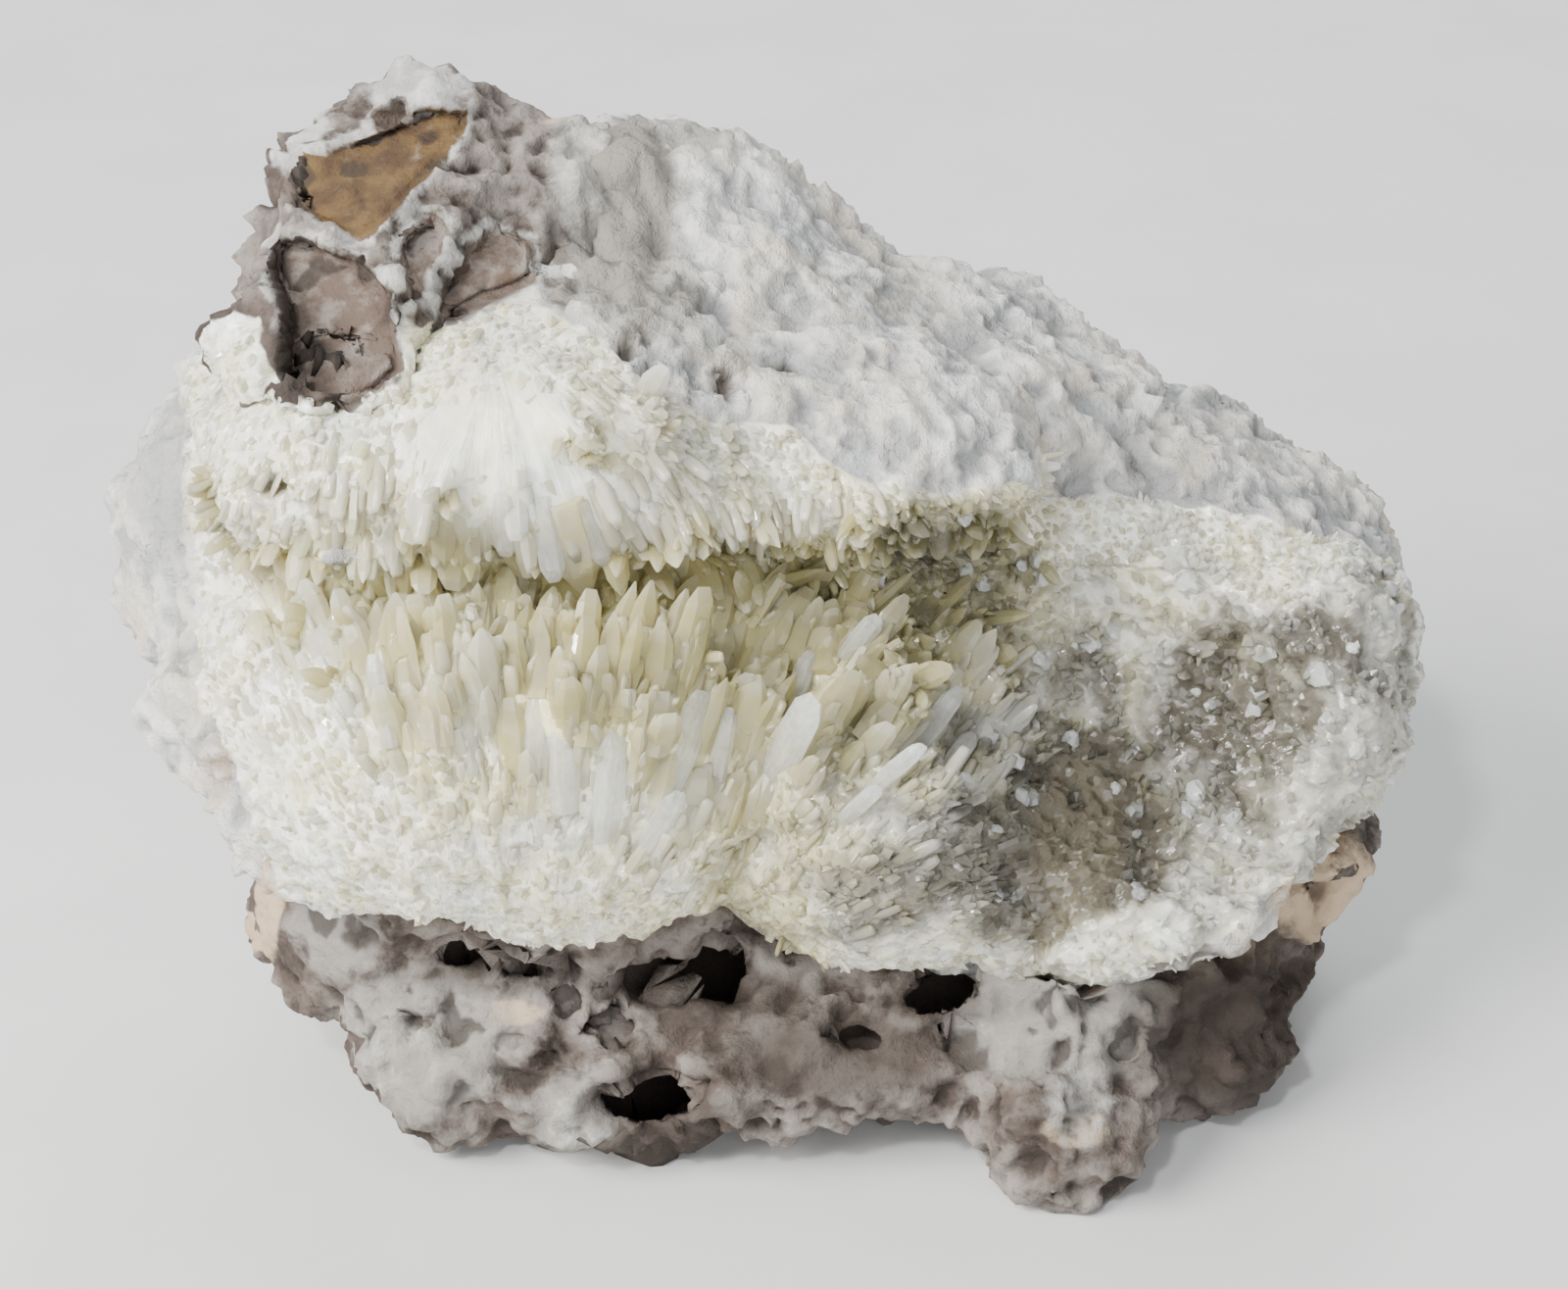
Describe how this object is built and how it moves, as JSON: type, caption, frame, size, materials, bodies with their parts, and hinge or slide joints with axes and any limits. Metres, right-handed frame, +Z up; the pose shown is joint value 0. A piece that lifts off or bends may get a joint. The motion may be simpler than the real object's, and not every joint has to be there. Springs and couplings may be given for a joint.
{
  "type": "mineral specimen",
  "caption": "aragonite specimen: spear crystals line an open cleft and bowl in white fibrous aragonite, which stands on brown porous host rock",
  "frame": {"origin": "on the floor the specimen stands on, at the middle of its footprint", "axes": "+X runs to the right as seen from the crystal-lined front, +Y to the weathered back, +Z up"},
  "size_m": [0.1052, 0.0648, 0.0764],
  "materials": {
    "host_rock": "matte",
    "aragonite_mass": "matte",
    "crystal_crust": "satin"
  },
  "bodies": {
    "root": {"host_rock": "host_rock", "aragonite_mass": "aragonite_mass", "crystal_crust": "crystal_crust"}
  },
  "joints": []
}
